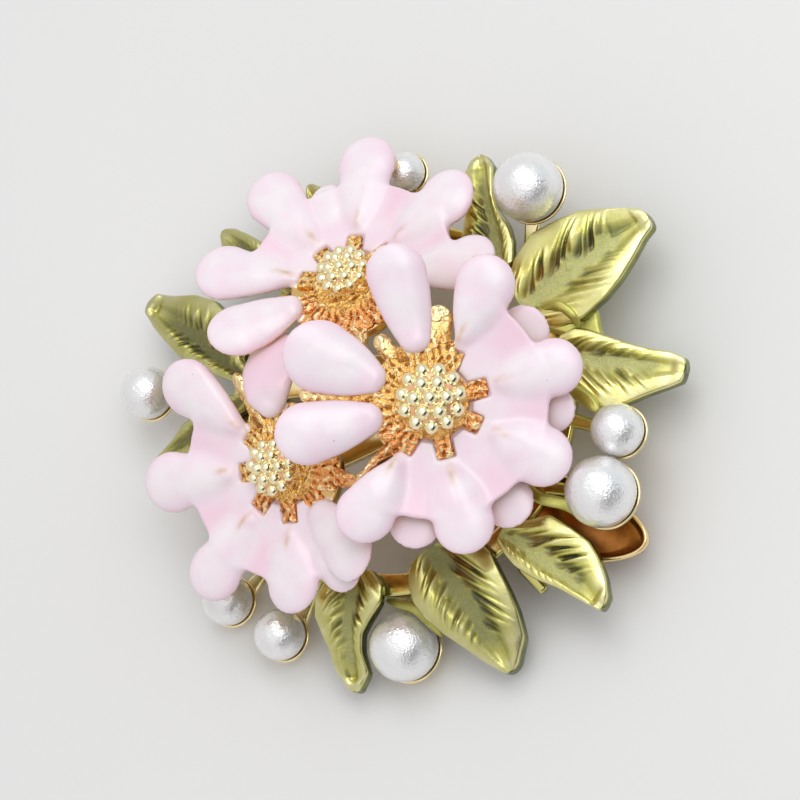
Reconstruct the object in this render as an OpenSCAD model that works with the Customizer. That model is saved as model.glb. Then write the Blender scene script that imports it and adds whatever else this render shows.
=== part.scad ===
// Flower brooch: three enamelled flowers on a gilt ring, with ten cast leaves and eight pearls.
// It lies on its back. Z is up, Y points to its top edge and X to its right. Millimetres.

/* [Pearls] */
// Diameter of the three large pearls
large_pearl = 5.9; // [5.7:0.1:6]
// Diameter of the four small pearls
small_pearl = 4.4; // [4.2:0.1:4.6]
// Diameter of the smallest pearl
tiny_pearl = 3.5; // [3.3:0.1:3.7]

/* [Flowers] */
// Diameter of the domes of small balls
dome_d = 6.6; // [6:0.1:7]
// Height of a lobe's rounded top over the flower's floor
lobe_height = 1.9; // [1.7:0.1:2.1]
// Distance from a flower's centre to the inner ends of its lobes
lobe_start = 5.2; // [5:0.1:5.4]
// Thickness of the enamelled sheet between two lobes
web_t = 0.9; // [0.8:0.1:1]

/* [Leaves] */
// Thickness of a leaf
leaf_t = 0.9; // [0.8:0.1:1]
// Depth of the furrow along a leaf's middle
furrow = 0.5; // [0.3:0.1:0.6]

/* [Back] */
// Height of the pin and its catch under the back plate
pin_height = 2.8; // [2.6:0.1:3]
// Length of the bar that carries the pin
pin_bar = 30; // [29:0.5:31]
// Length of the oval back plate
plate_l = 26; // [25:0.2:27]
// Width of the oval back plate
plate_w = 7.6; // [7:0.2:8.2]
// Thickness of the back plate
plate_t = 1; // [0.9:0.1:1.1]
// Thickness of the ring
ring_t = 1; // [0.9:0.1:1.1]

/* [Hidden] */

gap = 0.1;            // clearance between two pieces
pin_y = 4;            // how far the pin runs above the middle of the ring
pin_w = 3;            // width of the pin's bar, hinge block and catch block
pin_bar_t = 0.7;      // thickness of the bar
pin_block = 2.4;      // length of the hinge block and of the catch block
stem_d = 1;           // the stem that goes through the cloth
stem_lift = 0.2;      // its clearance over what the brooch lies on
cup_wall = 0.4;       // wall of a pearl's cup
cup_rim = 0.5;        // depth of the rim under the pearl's centre, as a share of its radius
peg_d = 0.9;          // peg in a pearl's hole, which ends at the pearl's centre
peg_room = 0.3;       // depth of the hole past the peg's end
arm_w = 1.4;          // width of an arm
arm_t = 0.9;          // thickness of an arm
arm_side = 0.8;       // where an arm meets its cup, beside the pearl's centre, as a share of its radius
arm_drop = 0.75;      // and under the pearl's centre
rivet_d = 1.6;        // rivet under a heart
post_d = 3;           // post under a flower
ring_r = 15;          // middle of the ring's band
ring_w = 2;           // width of the ring's band
ring_centre = [-1.5, 0];
plate_centre = [7.9, -8.7];
plate_turn = -19;
centre_shift = [2.03, -0.1];   // brings the middle of the whole outline over the origin

plate_z = pin_height + gap;
ring_z = plate_z + plate_t + gap;
ring_mid = ring_z + ring_t / 2;
leaf_floor = ring_z + ring_t + gap;
leaf_swell = 0.2;     // how far a leaf swells on both sides of its furrow

web_reach = 9.8;      // how far the sheets between lobes reach from the flower's centre
web_rise = 0.5;       // how far their outer edge has come up
web_round = 1.6;      // rounding of their corners, across
web_start = lobe_start + 1.2;
under_web_reach = 7;  // the same reach on the lower lobes
floor_t = 0.9;        // thickness of a flower's floor
floor_d = 2 * lobe_start + 1.6;
ray_t = 0.6;          // thickness of a bare gold ray
floor_top = 0.5;      // its upper face, over the flower's own origin
under_top = floor_top - floor_t - gap;
star_z = floor_top + gap / 2;
star_t = 0.6;
tooth_w = 1.8;        // tooth at the root of each lobe
tooth_reach = lobe_start - 0.25;
pad_w = 3;            // broad gold pads where no enamel joins two lobes
pad_reach = lobe_start - 0.35;
dome_h = 1.6;
ball_d = 1.25;
BALL_CIRCLES = [[0, 1], [17.5, 6], [35, 12]];   // angle from the dome's top, number of balls

// Where each pearl sits: x, y, height of its centre, diameter, side of the ring its arm leaves
function resting(d) = d / 2 + gap + cup_wall;
PEARLS = [
    [11.5, 17.2, 7.5, large_pearl, 40],
    [-1.2, 20.8, 4.5, tiny_pearl, 90],
    [-25.7, 3.7, 5, small_pearl + 0.2, 172],
    [-18.8, -14.7, resting(small_pearl), small_pearl, 222],
    [-13.6, -18.1, 3, small_pearl, 240],
    [-1.8, -20, resting(large_pearl), large_pearl, 270],
    [17.7, -9.2, 7.5, large_pearl, -31],
    [19.1, -4.15, 7.2, small_pearl, -8]
];

// Where each flower sits: centre of its floor, tilt, direction in which it tilts
RIGHT_FLOWER = [[5.2, -1.7, 12.6], 20, -28];
TOP_FLOWER = [[-3.8, 9.7, 9.6], 17, 80];
LEFT_FLOWER = [[-9, -5.3, 10.4], 16, 237];

// Lobes: direction, reach from the centre, half width, lift of the tip
RIGHT_LOBES = [
    [103, 13.4, 2.5, 0.4], [63, 13, 2.5, 0], [13, 12.7, 2.4, 0], [-29, 12.5, 2.5, 0],
    [-78, 12.7, 2.5, 0], [-124, 13, 2.45, 0], [-169, 13.2, 2.6, 0.4], [155, 13, 3.05, 0.6]
];
RIGHT_UNDER_LOBES = [
    [36, 11.5, 2.2, 0], [-6, 11.6, 2, 0], [-56, 12.2, 2.2, 0], [-102, 12, 2.2, 0]
];
TOP_LOBES = [
    [4, 13.4, 2.6, 0], [42, 13.5, 2.6, 0], [88, 14, 2.6, 0], [131, 14.4, 2.5, 0],
    [170, 14.2, 2.6, 0], [203, 12.6, 2.6, 0.5]
];
TOP_UNDER_LOBES = [[110, 10.8, 1.6, -1]];
LEFT_LOBES = [
    [97, 11.3, 2.9, -3.8], [139, 14, 2.5, 0], [181, 14, 2.6, 0], [225, 13.9, 2.5, 0],
    [268, 12.2, 2.5, 0], [308, 12, 2.6, 0.6]
];
LEFT_UNDER_LOBES = [[295, 11.8, 2, -1]];

// Bare gold rays between separate lobes: direction, reach, width
RIGHT_RAYS = [[84, 7.8, 1.4], [173, 11.2, 1.5], [-138, 9, 0.9]];
TOP_RAYS = [[-35, 7, 1.8], [-75, 6.8, 1.8], [-115, 6.8, 1.6]];
LEFT_RAYS = [[52, 6.8, 1.6], [-16, 9, 1.2]];

// A lobe from its inner end to its tip: share of its length, of its half width, of its height, and
// how far its underside has come up
LOBE_SECTIONS = [
    [0, 0.36, 0.3, 0], [0.08, 0.54, 0.6, 0], [0.25, 0.72, 0.84, 0.05], [0.42, 0.86, 0.92, 0.15],
    [0.58, 0.96, 1, 0.3], [0.72, 1, 1, 0.5], [0.84, 0.93, 1, 0.75], [0.93, 0.7, 0.94, 1],
    [0.98, 0.42, 0.84, 1.2], [1, 0.16, 0.72, 1.35]
];
LOBE_SIDES = 14;
under_lobe_height = 1.4;
tip_curl = 0.8;       // how far a lobe's underside comes up towards its tip
tip_thinning = 0.3;   // share of its height that a lobe loses there

// Leaves: base and tip, whose heights count from just over the ring, then rows of share of the
// length, half widths to the left and right, and rise
LEAF_TOP_RIGHT = [[10.4, 7.2, 0.7], [21.6, 13.85, 0], [
    [0, 2.4, 1.8, 0], [0.12, 3.9, 3.4, 0], [0.3, 4.9, 4.1, 0.1], [0.5, 4.5, 3.85, 0.3], [0.65, 4, 3.25, 0.3],
    [0.78, 3, 2.3, 0.1], [0.9, 1.95, 1.35, 0], [1, 0.8, 0.9, 0]]];
LEAF_RIGHT = [[13.2, 2.9, 0.3], [24.1, 1.1, -1.3], [
    [0, 1.6, 1.2, 0], [0.12, 2.5, 3, 0.1], [0.25, 2.4, 3.6, 0.2], [0.4, 2, 4.2, 0.3], [0.55, 1.6, 3.8, 0.2],
    [0.72, 1.3, 2.7, 0.1], [0.88, 1.25, 1.8, 0], [1, 0.8, 1.1, 0]]];
LEAF_LOWER_RIGHT = [[8.3, -11.5, 0.3], [16.9, -18.4, -0.5], [
    [0, 1.2, 0.8, 0], [0.12, 2, 1.3, 0.1], [0.25, 3.6, 1.6, 0.2], [0.45, 3.8, 1.4, 0.3],
    [0.62, 3.8, 0.9, 0.3], [0.75, 3.2, 0.7, 0.2], [0.88, 2.2, 0.5, 0], [1, 0.9, 0.3, 0]]];
LEAF_BOTTOM = [[2.1, -12.3, 0.4], [7.6, -22.6, -3.3], [
    [0, 1.4, 2.2, 0], [0.12, 3.6, 3.4, 0.2], [0.27, 4.2, 3.8, 0.7], [0.4, 4.1, 3.5, 1.1], [0.55, 3.9, 3, 1],
    [0.7, 3.5, 2.2, 0.7], [0.86, 2.7, 1.4, 0.3], [1, 0.6, 0.5, 0]]];
LEAF_BOTTOM_LEFT = [[-5.5, -13.4, 0.3], [-6.7, -23.4, -3.3], [
    [0, 2, 1.2, 0], [0.14, 3.2, 2.3, 0.4], [0.28, 3.2, 3, 0.8], [0.42, 2.1, 3.1, 0.8], [0.54, 1.3, 2.6, 0.8],
    [0.68, 1.1, 2, 0.6], [0.84, 1.5, 1.6, 0.3], [1, 0.4, 0.4, 0]]];
LEAF_LOWER_LEFT = [[-15.6, 1.8, 0.3], [-24.9, -2.1, -1.5], [
    [0, 0.8, 0.8, 0], [0.2, 1, 0.9, 0.2], [0.36, 2, 1, 0.1], [0.5, 1.9, 1.3, 0.2], [0.64, 1.6, 1.3, 0.2],
    [0.78, 1.3, 0.7, 0.1], [0.9, 0.8, 0.4, 0], [1, 0.2, 0.2, 0]]];
LEAF_LEFT = [[-15, 3.4, 0.3], [-25.8, 11.8, -1.1], [
    [0, 0.7, 0.7, 0], [0.14, 1, 1, 0], [0.28, 1.5, 2.4, 0.1], [0.42, 1.9, 3.5, 0.2], [0.56, 2, 3.8, 0.3],
    [0.72, 1.7, 3.1, 0.3], [0.86, 1.4, 1.9, 0.1], [1, 0.7, 1, 0]]];
LEAF_TOP_LEFT = [[-10.8, 11.2, 0.3], [-18.6, 17.5, -1.1], [
    [0, 0.8, 0.8, 0], [0.25, 1.2, 1.2, 0], [0.5, 1.9, 1.5, 0.2], [0.75, 1.8, 1.2, 0.2], [0.9, 1.1, 0.9, 0.1],
    [1, 0.4, 0.3, 0]]];
LEAF_TIP = [[-6.3, 13.6, 0.3], [-10.1, 20.5, -0.7], [
    [0, 0.8, 0.8, 0], [0.4, 1, 1.2, 0], [0.7, 1.2, 1.6, 0.1], [0.85, 0.8, 1.2, 0], [1, 0.2, 0.4, 0]]];
LEAF_TOP = [[8.4, 10.8, 0.3], [6.4, 21.2, -0.7], [
    [0, 1.4, 1.2, 0], [0.2, 1.6, 1.6, 0.1], [0.34, 3, 1.4, 0.2], [0.5, 2.5, 0.6, 0.1], [0.62, 2, 0.5, 0.3],
    [0.74, 1.8, 0.7, 0.4], [0.87, 1.9, 0.9, 0.3], [1, 1, 0.2, 0]]];

pink = "#f6dde8";
under_pink = "#e6c2d0";
gilt = "#e2b35a";
copper = "#a05a1e";
leaf_green = "#b5b04c";
nacre = "#e9e7ea";

// A solid through rings of points. Each ring runs from +Y over +Z, and the rings follow +X.
module loft(rings) {
    n = len(rings[0]);
    last = len(rings) - 1;
    polyhedron(
        points = [for (ring = rings) each ring],
        faces = [
            [for (i = [0:n - 1]) i],
            [for (i = [n - 1:-1:0]) last * n + i],
            for (k = [0:last - 1], i = [0:n - 1])
                let (a = k * n + i, b = k * n + (i + 1) % n)
                each [[a, a + n, b + n], [a, b + n, b]]
        ],
        convexity = 4);
}

// Puts a shape into a flower's own frame
module at_flower(flower) {
    translate(flower[0])
        rotate([0, 0, flower[2]])
            rotate([0, flower[1], 0])
                rotate([0, 0, -flower[2]])
                    children();
}

// One rounded lobe that grows from the flower's floor
module lobe(row, high, low = 0) {
    length = row[1] - lobe_start;
    rings = [
        for (s = LOBE_SECTIONS)
            let (
                curl = low + s[3] * tip_curl + row[3] * s[0] * s[0],
                bottom = curl,
                top = curl + high * s[2] * (1 - tip_thinning * s[3]),
                middle = (bottom + top) / 2
            )
            [for (i = [0:LOBE_SIDES - 1])
                let (a = i * 360 / LOBE_SIDES)
                [lobe_start + length * s[0], row[2] * s[1] * cos(a), middle + (top - bottom) / 2 * sin(a)]]
    ];
    rotate([0, 0, row[0]])
        loft(rings);
}

// The sheet between two neighbouring lobes, in two spans from the floor to its outer edge
module web(a, b, reach, rise) {
    mid = (web_start + reach) / 2;
    for (span = [[[web_start, 0], [mid, 0.2 * rise]], [[mid, 0.2 * rise], [reach, rise]]])
        hull()
            for (row = [a, b], end = span)
                rotate([0, 0, row[0]])
                    translate([end[0], 0, end[1] + row[3] * pow(end[0] / row[1], 2)])
                        cylinder(d = web_round, h = web_t, $fn = 12);
}

// A bare gold ray that lies between two separate lobes
module ray(row) {
    rotate([0, 0, row[0]])
        translate([post_d, -row[2] / 2, floor_top - floor_t])
            cube([row[1] - post_d, row[2], ray_t]);
}

// The floor that joins a flower's lobes, drilled for the rivet
module flower_floor(top, d) {
    translate([0, 0, top - floor_t])
        difference() {
            cylinder(d = d, h = floor_t, $fn = 36);
            translate([0, 0, -1])
                cylinder(d = rivet_d + 2 * gap, h = floor_t + 2, $fn = 24);
        }
}

// Gold heart: star with a tooth to each lobe and broad pads between separate lobes, dome of balls, rivet
module heart(teeth, pads, rivet_bottom) {
    dome_r = (pow(dome_d / 2, 2) + dome_h * dome_h) / (2 * dome_h);
    dome_base = star_z + star_t;
    dome_centre = dome_base + dome_h - dome_r;
    union() {
        translate([0, 0, star_z])
            cylinder(d = dome_d + 1, h = star_t, $fn = 48);
        for (a = teeth)
            rotate([0, 0, a])
                translate([0, -tooth_w / 2, star_z])
                    cube([tooth_reach, tooth_w, star_t]);
        for (a = pads)
            rotate([0, 0, a])
                translate([0, -pad_w / 2, star_z])
                    cube([pad_reach, pad_w, star_t]);
        intersection() {
            translate([0, 0, dome_centre])
                sphere(r = dome_r, $fn = 48);
            translate([0, 0, dome_base - 0.1])
                cylinder(d = dome_d, h = dome_h + 1, $fn = 48);
        }
        for (circle = BALL_CIRCLES, i = [0:circle[1] - 1])
            translate([0, 0, dome_centre])
                rotate([0, circle[0], i * 360 / circle[1]])
                    translate([0, 0, dome_r])
                        sphere(d = ball_d, $fn = 24);
        translate([0, 0, rivet_bottom])
            cylinder(d = rivet_d, h = star_z - rivet_bottom + 0.1, $fn = 24);
    }
}

// A straight bar between two points
module bar(from, to, w, h) {
    run = to - from;
    flat = norm([run[0], run[1]]);
    translate(from)
        rotate([0, -atan2(run[2], flat), atan2(run[1], run[0])])
            translate([0, -w / 2, -h / 2])
                cube([norm(run), w, h]);
}

// A cast leaf: furrowed blade with both half widths, rise and slope from its rows
module leaf(data) {
    base = data[0];
    run = data[1] - base;
    flat = norm([run[0], run[1]]);
    rings = [
        for (row = data[2])
            let (x = flat * row[0], z = run[2] * row[0] + row[3])
            [
                [x, row[1], z], [x, row[1], z + leaf_t], [x, row[1] / 2, z + leaf_t + leaf_swell],
                [x, 0, z + leaf_t - furrow / 2], [x, -row[2] / 2, z + leaf_t + leaf_swell],
                [x, -row[2], z + leaf_t], [x, -row[2], z]
            ]
    ];
    color(leaf_green)
        translate([base[0], base[1], leaf_floor + base[2]])
            rotate([0, 0, atan2(run[1], run[0])])
                loft(rings);
}

// A pearl, drilled from below for the peg in its cup
module pearl(i) {
    r = PEARLS[i][3] / 2;
    color(nacre)
        translate([PEARLS[i][0], PEARLS[i][1], PEARLS[i][2]])
            difference() {
                sphere(r = r, $fn = 48);
                translate([0, 0, -r - 1])
                    cylinder(d = peg_d + gap, h = r + 1 + peg_room, $fn = 24);
            }
}

// Cups and arms that carry the pearls
module pearl_seats() {
    difference() {
        for (p = PEARLS) {
            r = p[3] / 2;
            start = ring_centre + ring_r * [cos(p[4]), sin(p[4])];
            heading = [start[0] - p[0], start[1] - p[1]];
            side = heading / norm(heading) * r * arm_side;
            bar([start[0], start[1], ring_mid], [p[0] + side[0], p[1] + side[1], p[2] - r * arm_drop],
                arm_w, arm_t);
            translate([p[0], p[1], p[2]])
                difference() {
                    sphere(r = r + gap + cup_wall, $fn = 48);
                    translate([0, 0, -r * cup_rim])
                        cylinder(r = 2 * r, h = 3 * r, $fn = 24);
                }
        }
        for (p = PEARLS)
            translate([p[0], p[1], p[2]])
                sphere(r = p[3] / 2 + gap, $fn = 48);
    }
    for (p = PEARLS)
        translate([p[0], p[1], p[2] - p[3] / 2 - gap - cup_wall / 2])
            cylinder(d = peg_d, h = p[3] / 2 + gap + cup_wall / 2, $fn = 24);
}

// Post under a flower, along the flower's own axis, from the ring's level up to its floor
module post(flower, top) {
    drop = (flower[0][2] - ring_mid) / cos(flower[1]);
    at_flower(flower)
        translate([0, 0, -drop])
            cylinder(d = post_d, h = drop + top, $fn = 32);
}

// Where a flower's post meets the level of the ring
function foot(flower) =
    let (c = flower[0], s = tan(flower[1]) * (c[2] - ring_mid))
    [c[0] - s * cos(flower[2]), c[1] - s * sin(flower[2]), ring_mid];

function on_ring(a) = [ring_centre[0] + ring_r * cos(a), ring_centre[1] + ring_r * sin(a), ring_mid];

module frame() {
    color(gilt)
        union() {
            translate([ring_centre[0], ring_centre[1], ring_z])
                rotate_extrude($fn = 96)
                    translate([ring_r - ring_w / 2, 0])
                        square([ring_w, ring_t]);
            bar(on_ring(204), foot(LEFT_FLOWER), ring_w, ring_t);
            bar(foot(LEFT_FLOWER), foot(RIGHT_FLOWER), ring_w, ring_t);
            bar(foot(RIGHT_FLOWER), on_ring(12), ring_w, ring_t);
            bar(foot(TOP_FLOWER), on_ring(100), ring_w, ring_t);
            post(RIGHT_FLOWER, under_top - floor_t - gap);
            post(TOP_FLOWER, floor_top - floor_t - gap);
            post(LEFT_FLOWER, floor_top - floor_t - gap);
            pearl_seats();
        }
}

// Smooth dished oval plate behind the lower right
module back_plate() {
    color(copper)
        translate([plate_centre[0], plate_centre[1], plate_z])
            rotate([0, 0, plate_turn])
                linear_extrude(plate_t)
                    polygon([for (a = [0:6:354]) [plate_l / 2 * cos(a), plate_w / 2 * sin(a)]]);
}

// Bar, hinge block, stem and catch of the pin, in one piece
module pin_clasp() {
    end = pin_bar / 2;
    color(gilt)
        translate([ring_centre[0], pin_y, 0])
            union() {
                translate([-end, -pin_w / 2, pin_height - pin_bar_t])
                    cube([pin_bar, pin_w, pin_bar_t]);
                for (x = [-end, end - pin_block])
                    translate([x, -pin_w / 2, 0])
                        cube([pin_block, pin_w, ring_z - gap]);
                translate([pin_block / 2 - end, 0, stem_d / 2 + stem_lift])
                    rotate([0, 90, 0])
                        cylinder(d = stem_d, h = pin_bar - pin_block, $fn = 24);
            }
}

module right_flower_petals() {
    color(pink)
        at_flower(RIGHT_FLOWER) {
            flower_floor(floor_top, floor_d);
            for (row = RIGHT_LOBES)
                lobe(row, lobe_height);
            for (i = [1:4])
                web(RIGHT_LOBES[i], RIGHT_LOBES[i + 1], web_reach, web_rise);
            for (row = RIGHT_RAYS)
                ray(row);
        }
}

module right_flower_under_petals() {
    color(under_pink)
        at_flower(RIGHT_FLOWER) {
            flower_floor(under_top, floor_d);
            for (row = RIGHT_UNDER_LOBES)
                lobe(row, floor_t, under_top - floor_t);
            for (i = [0:2])
                translate([0, 0, under_top - floor_t])
                    web(RIGHT_UNDER_LOBES[i], RIGHT_UNDER_LOBES[i + 1], under_web_reach, 0);
        }
}

module right_flower_heart() {
    color(gilt)
        at_flower(RIGHT_FLOWER)
            heart([for (row = RIGHT_LOBES) row[0]], [84, 130, 173, -148], under_top - floor_t);
}

module top_flower_petals() {
    color(pink)
        at_flower(TOP_FLOWER) {
            flower_floor(floor_top, floor_d);
            for (row = TOP_LOBES)
                lobe(row, lobe_height);
            for (row = TOP_UNDER_LOBES)
                lobe(row, under_lobe_height);
            for (i = [0:3])
                web(TOP_LOBES[i], TOP_LOBES[i + 1], web_reach, web_rise);
            for (row = TOP_RAYS)
                ray(row);
        }
}

module top_flower_heart() {
    color(gilt)
        at_flower(TOP_FLOWER)
            heart([for (row = TOP_LOBES) row[0]], [-30, -65, -100], floor_top - floor_t);
}

module left_flower_petals() {
    color(pink)
        at_flower(LEFT_FLOWER) {
            flower_floor(floor_top, floor_d);
            for (row = LEFT_LOBES)
                lobe(row, lobe_height);
            for (row = LEFT_UNDER_LOBES)
                lobe(row, under_lobe_height);
            for (i = [1:3])
                web(LEFT_LOBES[i], LEFT_LOBES[i + 1], web_reach, web_rise);
            web(LEFT_LOBES[4], LEFT_UNDER_LOBES[0], web_reach, 0);
            for (row = LEFT_RAYS)
                ray(row);
        }
}

module left_flower_heart() {
    color(gilt)
        at_flower(LEFT_FLOWER)
            heart([for (row = LEFT_LOBES) row[0]], [60, 25, -10], floor_top - floor_t);
}

module place() {
    translate([centre_shift[0], centre_shift[1], 0])
        children();
}

place() frame();
place() back_plate();
place() pin_clasp();
place() right_flower_petals();
place() right_flower_under_petals();
place() right_flower_heart();
place() top_flower_petals();
place() top_flower_heart();
place() left_flower_petals();
place() left_flower_heart();
place() leaf(LEAF_TOP_RIGHT);  // leaf_top_right
place() leaf(LEAF_RIGHT);  // leaf_right
place() leaf(LEAF_LOWER_RIGHT);  // leaf_lower_right
place() leaf(LEAF_BOTTOM);  // leaf_bottom
place() leaf(LEAF_BOTTOM_LEFT);  // leaf_bottom_left
place() leaf(LEAF_LOWER_LEFT);  // leaf_lower_left
place() leaf(LEAF_LEFT);  // leaf_left
place() leaf(LEAF_TOP_LEFT);  // leaf_top_left
place() leaf(LEAF_TIP);  // leaf_tip
place() leaf(LEAF_TOP);  // leaf_top
place() pearl(0);  // pearl_1
place() pearl(1);  // pearl_2
place() pearl(2);  // pearl_3
place() pearl(3);  // pearl_4
place() pearl(4);  // pearl_5
place() pearl(5);  // pearl_6
place() pearl(6);  // pearl_7
place() pearl(7);  // pearl_8
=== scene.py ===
from math import asin, cos, hypot, pi, radians, sin, sqrt, tan

import bpy
import numpy as np
from numpy import array, maximum, minimum
from mathutils import Matrix, Vector


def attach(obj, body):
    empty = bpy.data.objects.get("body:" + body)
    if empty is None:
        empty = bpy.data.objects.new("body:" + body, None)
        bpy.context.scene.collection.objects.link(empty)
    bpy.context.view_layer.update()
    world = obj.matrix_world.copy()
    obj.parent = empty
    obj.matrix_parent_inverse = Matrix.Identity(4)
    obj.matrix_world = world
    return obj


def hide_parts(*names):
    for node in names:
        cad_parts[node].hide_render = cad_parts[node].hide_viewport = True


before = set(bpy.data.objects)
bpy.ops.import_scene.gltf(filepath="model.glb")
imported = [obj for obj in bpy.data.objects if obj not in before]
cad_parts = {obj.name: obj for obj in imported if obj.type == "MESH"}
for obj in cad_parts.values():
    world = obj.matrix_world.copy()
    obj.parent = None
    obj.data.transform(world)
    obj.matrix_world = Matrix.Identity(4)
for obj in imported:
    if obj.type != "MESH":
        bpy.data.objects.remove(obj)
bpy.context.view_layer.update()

# Sizes in millimetres, in the part's own frame before it is centred, and in metres at the very end
MM = 0.001
CENTRE_SHIFT = array((2.03, -0.1, 0.0))
GAP = 0.1
LARGE_PEARL, SMALL_PEARL, TINY_PEARL = 5.9, 4.4, 3.5
DOME_D, DOME_H = 6.6, 1.6
LOBE_HEIGHT, UNDER_LOBE_HEIGHT, LOBE_START = 1.9, 1.4, 5.2
TIP_CURL, TIP_THINNING = 0.8, 0.3
WEB_REACH, WEB_RISE, WEB_TOP, UNDER_WEB_REACH = 9.5, 0.5, 0.86, 7.2
FLOOR_TOP, FLOOR_T = 0.5, 0.9
UNDER_TOP = FLOOR_TOP - FLOOR_T - GAP
STAR_Z = 0.55
LEAF_T = 0.9
PIN_HEIGHT, PIN_BAR, PIN_Y, PIN_W, PIN_BAR_T, PIN_BLOCK = 2.8, 30.0, 4.0, 3.0, 0.7, 2.4
STEM_D, STEM_LIFT = 1.0, 0.2
PLATE_L, PLATE_W, PLATE_T = 26.0, 7.6, 1.0
PLATE_CENTRE, PLATE_TURN = (7.9, -8.7), -19
RING_R, RING_W, RING_T, RING_CENTRE = 15.0, 2.0, 1.0, array((-1.5, 0.0))
PLATE_Z = PIN_HEIGHT + GAP
RING_Z = PLATE_Z + PLATE_T + GAP
RING_MID = RING_Z + RING_T / 2
RING_MIDDLE = array((*RING_CENTRE, RING_MID))
LEAF_FLOOR = RING_Z + RING_T + GAP
CUP_WALL, CUP_RIM, POST_D = 0.4, 0.5, 3.0
CUP_THINNING = 0.18
ARM_W, ARM_T, ARM_SIDE, ARM_DROP = 1.4, 0.9, 0.8, 0.75

# Steps of the grids that surfaces are found on, and the numbers of rows, columns and steps round
ENAMEL_STEP, HEART_STEP = 0.17, 0.085
LEAF_ROWS, LEAF_COLUMNS, LEAF_UNDER_COLUMNS = 150, 80, 16
RING_STEPS, PLATE_STEPS, POST_STEPS, CUP_STEPS = 160, 150, 40, 56
CAMERA_YAW, CAMERA_PITCH, CAMERA_TARGET = 25, 14, (2.03, -.1, 8)
CAMERA_DISTANCE, SENSOR_W, IMAGE_W, PX_PER_MM = 320, 36, 800, 12

# Pearls: x, y, height of the centre, diameter, side of the ring that the arm leaves
PEARLS = (
    (11.5, 17.2, 7.5, LARGE_PEARL, 40), (-1.2, 20.8, 4.5, TINY_PEARL, 90),
    (-25.7, 3.7, 5, SMALL_PEARL + 0.2, 172), (-18.8, -14.7, 2.7, SMALL_PEARL, 222),
    (-13.6, -18.1, 3, SMALL_PEARL, 240), (-1.8, -20, 3.45, LARGE_PEARL, 270),
    (17.7, -9.2, 7.5, LARGE_PEARL, -31), (19.1, -4.15, 7.2, SMALL_PEARL, -8),
)

# Flowers. place: centre, tilt, direction of the tilt. lobes: direction, reach, half width, lift of
# the tip. joined: lobes in a row with enamel between them. low_lobes: lobes under the others.
# low_join: pairs of directions with enamel between them. rays: bare gold, with direction, reach,
# width at the heart and at the end. pads: directions of the heart's broad pads. cluster: the balls'
# shift in X and Y, and their scale. short_tooth: the lobe whose tooth is short. gilt_rims:
# directions of the lobes whose edge shows bare gold.
FLOWERS = {
    "right_flower": dict(
        place=((5.2, -1.7, 12.6), 20, -28),
        lobes=((103, 13.4, 2.5, .4), (63, 13, 2.5, 0), (13, 12.7, 2.4, 0), (-29, 12.5, 2.5, 0),
               (-78, 12.7, 2.5, 0), (-124, 13, 2.45, 0), (-169, 13.2, 2.6, .4), (155, 13, 3.05, .6)),
        joined=range(1, 6), low_lobes=(), low_join=(),
        rays=((84, 8.1, 1.5, 2.5), (128, 7.3, 1.3, 1.6), (173, 11.2, 1, 1.6), (-138, 9, 1, .6)),
        pads=(84, 130, 173, -148), cluster=(0, .3, 1), short_tooth=3, gilt_rims=(63, -169)),
    "top_flower": dict(
        place=((-3.8, 9.7, 9.6), 17, 80),
        lobes=((4, 13.4, 2.6, 0), (42, 13.5, 2.6, 0), (88, 14, 2.6, 0), (131, 14.4, 2.5, 0),
               (170, 14.2, 2.6, 0), (203, 12.6, 2.6, .5)),
        joined=range(5), low_lobes=((110, 10.8, 1.6, -1),), low_join=(),
        rays=((-35, 7, 1.7, 1.9), (-75, 6.8, 1.7, 1.9), (-115, 6.8, 1.5, 1.8), (-133, 6.6, 1, 1)),
        pads=(-30, -65, -100), cluster=(-.2, .75, .8), short_tooth=None, gilt_rims=(203,)),
    "left_flower": dict(
        place=((-9, -5.3, 10.4), 16, 237),
        lobes=((97, 11.3, 2.9, -3.8), (139, 14, 2.5, 0), (181, 14, 2.6, 0), (225, 13.9, 2.5, 0),
               (268, 12.2, 2.5, 0), (308, 12, 2.6, .6)),
        joined=range(1, 5), low_lobes=((295, 11.8, 2, -1),), low_join=((268, 295),),
        rays=((117.5, 9.4, 1.5, 1.2), (52, 6.8, 1.5, 1.8), (-16, 9, 2.2, .5)),
        pads=(60, 25, -10), cluster=(-.7, .1, .82), short_tooth=None, gilt_rims=(308,)),
}
RIGHT_UNDER_LOBES = ((36, 11.5, 2.2, 0), (-6, 11.6, 2, 0), (-56, 12.2, 2.2, 0), (-102, 12, 2.2, 0))

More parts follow.
